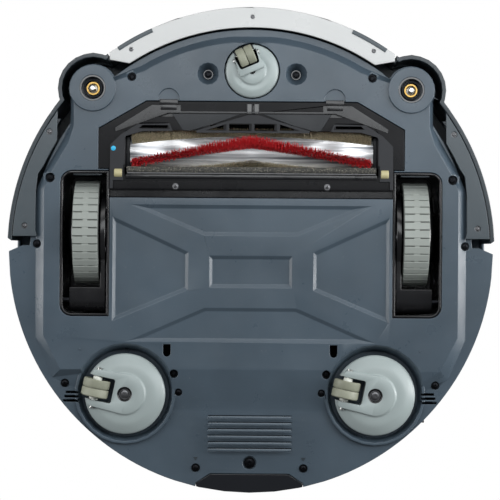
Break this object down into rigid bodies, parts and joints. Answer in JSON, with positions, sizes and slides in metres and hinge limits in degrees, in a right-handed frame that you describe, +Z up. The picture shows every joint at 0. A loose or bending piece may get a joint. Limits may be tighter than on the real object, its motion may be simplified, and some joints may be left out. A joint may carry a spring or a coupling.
{
  "type": "robot vacuum",
  "caption": "Round robot vacuum with a sprung front bumper, drive wheels, casters, main brush under a frame and a dust bin lid.",
  "frame": {"origin": "on the floor, under the centre of the round body", "axes": "+Z up, the bumper (front) faces -Y, the rear +Y, +X to the robot's left seen from above with the front away"},
  "size_m": [0.354, 0.354, 0.089],
  "materials": {
    "slate_shell": "fine satin moulded plastic, blue-grey",
    "dark_shell": "satin moulded plastic, dark slate",
    "black_part": "black moulded plastic",
    "hub_gloss": "gloss black plastic",
    "silver_cover": "light silver painted plastic",
    "caster_dome": "light grey moulded plastic",
    "tyre": "light grey soft rubber tyre",
    "caster_tyre": "beige-grey roller plastic",
    "bristle_beige": "stiff beige bristles",
    "bristle_red": "red bristle strip",
    "brush_tube": "silver glossy roller",
    "steel": "turned steel",
    "dark_window": "smoked glossy window",
    "circuit": "green circuit board",
    "motor_can": "plated motor can",
    "battery_wrap": "blue shrink wrap",
    "felt": "pleated filter and sponge strip"
  },
  "bodies": {
    "root": {"bottom_shell": "slate_shell", "top_shell": "slate_shell", "dock_window": "dark_window", "wheel_case_left": "black_part", "wheel_case_right": "black_part", "suspension_pin_left": "steel", "suspension_pin_right": "steel", "brush_chamber": "black_part", "brush_bearing_left": "black_part", "brush_bearing_right": "black_part", "fan_unit": "dark_shell", "battery_pack": "battery_wrap", "main_board": "circuit", "brush_motor": "motor_can", "side_brush_motor_left": "motor_can", "side_brush_motor_right": "motor_can", "dust_bin_body": "dark_shell", "dust_bin_door": "dark_window", "dust_filter": "felt", "control_panel": "dark_window", "camera_lens": "dark_window", "charge_socket": "black_part"},
    "bumper": {"bumper_shell": "dark_shell", "bumper_wall_left": "dark_shell", "bumper_wall_right": "dark_shell", "bumper_front_cover": "silver_cover", "bumper_sensor_window": "dark_window", "bumper_side_plate_left": "dark_shell", "bumper_side_plate_right": "dark_shell"},
    "lid": {"lid": "silver_cover"},
    "button_home": {"button_home": "silver_cover"},
    "button_start": {"button_start": "silver_cover"},
    "button_mode": {"button_mode": "silver_cover"},
    "power_switch": {"power_switch": "silver_cover"},
    "brush_frame": {"brush_frame": "black_part", "squeegee": "felt"},
    "main_brush": {"brush_core": "brush_tube", "bristles_red": "bristle_red", "bristles_beige": "bristle_beige"},
    "front_swivel": {"front_caster_fork": "caster_dome", "front_caster_axle": "steel"},
    "front_roller": {"front_caster_wheel": "caster_tyre"},
    "arm_left": {"suspension_arm_left": "black_part"},
    "wheel_left": {"drive_wheel_hub_left": "hub_gloss", "drive_tyre_left": "tyre"},
    "side_spindle_left": {"side_brush_spindle_left": "steel"},
    "latch_left": {"brush_latch_left": "black_part"},
    "guide_roller_left": {"guide_roller_left": "caster_tyre"},
    "rear_swivel_left": {"rear_caster_left_fork": "caster_dome", "rear_caster_left_axle": "steel"},
    "rear_roller_left": {"rear_caster_left_wheel": "caster_tyre"},
    "arm_right": {"suspension_arm_right": "black_part"},
    "wheel_right": {"drive_wheel_hub_right": "hub_gloss", "drive_tyre_right": "tyre"},
    "side_spindle_right": {"side_brush_spindle_right": "steel"},
    "latch_right": {"brush_latch_right": "black_part"},
    "guide_roller_right": {"guide_roller_right": "caster_tyre"},
    "rear_swivel_right": {"rear_caster_right_fork": "caster_dome", "rear_caster_right_axle": "steel"},
    "rear_roller_right": {"rear_caster_right_wheel": "caster_tyre"}
  },
  "joints": [
    {"name": "bumper_press", "type": "slide", "parent": "root", "child": "bumper", "axis": [0, 1, 0], "range_m": [0, 0.004], "stiffness_N_per_m": 600, "springref_m": -0.002},
    {"name": "lid_hinge", "type": "hinge", "parent": "root", "child": "lid", "pos_m": [0, 0.0672, 0.089], "axis": [-1, 0, 0], "range_deg": [0, 80]},
    {"name": "home_press", "type": "slide", "parent": "root", "child": "button_home", "axis": [0, 0, -1], "range_m": [0, 0.001], "stiffness_N_per_m": 800, "springref_m": -0.0004},
    {"name": "start_press", "type": "slide", "parent": "root", "child": "button_start", "axis": [0, 0, -1], "range_m": [0, 0.001], "stiffness_N_per_m": 800, "springref_m": -0.0004},
    {"name": "mode_press", "type": "slide", "parent": "root", "child": "button_mode", "axis": [0, 0, -1], "range_m": [0, 0.001], "stiffness_N_per_m": 800, "springref_m": -0.0004},
    {"name": "power_slide", "type": "slide", "parent": "root", "child": "power_switch", "axis": [0, 1, 0], "range_m": [0, 0.006]},
    {"name": "suspension_left", "type": "hinge", "parent": "root", "child": "arm_left", "pos_m": [-0.12, 0.037, 0.024], "axis": [-1, 0, 0], "range_deg": [-18, 6], "stiffness_Nm_per_rad": 1, "springref_deg": -25.78},
    {"name": "wheel_spin_left", "type": "hinge", "parent": "arm_left", "child": "wheel_left", "pos_m": [-0.12, -0.0127, 0.038], "axis": [1, 0, 0], "continuous": true},
    {"name": "side_brush_spin_left", "type": "hinge", "parent": "root", "child": "side_spindle_left", "pos_m": [-0.1155, -0.1172, 0.018], "axis": [0, 0, 1], "continuous": true},
    {"name": "latch_slide_left", "type": "slide", "parent": "brush_frame", "child": "latch_left", "axis": [0, 1, 0], "range_m": [0, 0.0025], "stiffness_N_per_m": 400, "springref_m": -0.001},
    {"name": "guide_roller_spin_left", "type": "hinge", "parent": "brush_frame", "child": "guide_roller_left", "pos_m": [-0.09665, -0.0558, 0.0088], "axis": [1, 0, 0], "continuous": true},
    {"name": "rear_swivel_left", "type": "hinge", "parent": "root", "child": "rear_swivel_left", "pos_m": [-0.0908, 0.1046, 0.018], "axis": [0, 0, 1], "continuous": true},
    {"name": "rear_roll_left", "type": "hinge", "parent": "rear_swivel_left", "child": "rear_roller_left", "pos_m": [-0.11185, 0.1002, 0.00975], "axis": [0.2045, -0.9789, 0], "continuous": true},
    {"name": "suspension_right", "type": "hinge", "parent": "root", "child": "arm_right", "pos_m": [0.12, 0.037, 0.024], "axis": [-1, 0, 0], "range_deg": [-18, 6], "stiffness_Nm_per_rad": 1, "springref_deg": -25.78},
    {"name": "wheel_spin_right", "type": "hinge", "parent": "arm_right", "child": "wheel_right", "pos_m": [0.12, -0.0127, 0.038], "axis": [1, 0, 0], "continuous": true},
    {"name": "side_brush_spin_right", "type": "hinge", "parent": "root", "child": "side_spindle_right", "pos_m": [0.1155, -0.1172, 0.018], "axis": [0, 0, 1], "continuous": true},
    {"name": "latch_slide_right", "type": "slide", "parent": "brush_frame", "child": "latch_right", "axis": [0, 1, 0], "range_m": [0, 0.0025], "stiffness_N_per_m": 400, "springref_m": -0.001},
    {"name": "guide_roller_spin_right", "type": "hinge", "parent": "brush_frame", "child": "guide_roller_right", "pos_m": [0.09665, -0.0558, 0.0088], "axis": [1, 0, 0], "continuous": true},
    {"name": "rear_swivel_right", "type": "hinge", "parent": "root", "child": "rear_swivel_right", "pos_m": [0.0908, 0.1046, 0.018], "axis": [0, 0, 1], "continuous": true},
    {"name": "rear_roll_right", "type": "hinge", "parent": "rear_swivel_right", "child": "rear_roller_right", "pos_m": [0.06975, 0.1002, 0.00975], "axis": [0.2045, -0.9789, 0], "continuous": true},
    {"name": "front_swivel", "type": "hinge", "parent": "root", "child": "front_swivel", "pos_m": [0, -0.1303, 0.018], "axis": [0, 0, 1], "continuous": true},
    {"name": "front_roll", "type": "hinge", "parent": "front_swivel", "child": "front_roller", "pos_m": [-0.00439, -0.1406, 0.0073], "axis": [0.9198, -0.3923, 0], "continuous": true},
    {"name": "brush_frame_hinge", "type": "hinge", "parent": "root", "child": "brush_frame", "pos_m": [0, -0.0443, 0.0122], "axis": [1, 0, 0], "range_deg": [0, 85]},
    {"name": "main_brush_spin", "type": "hinge", "parent": "root", "child": "main_brush", "pos_m": [0, -0.071, 0.0235], "axis": [1, 0, 0], "continuous": true}
  ]
}
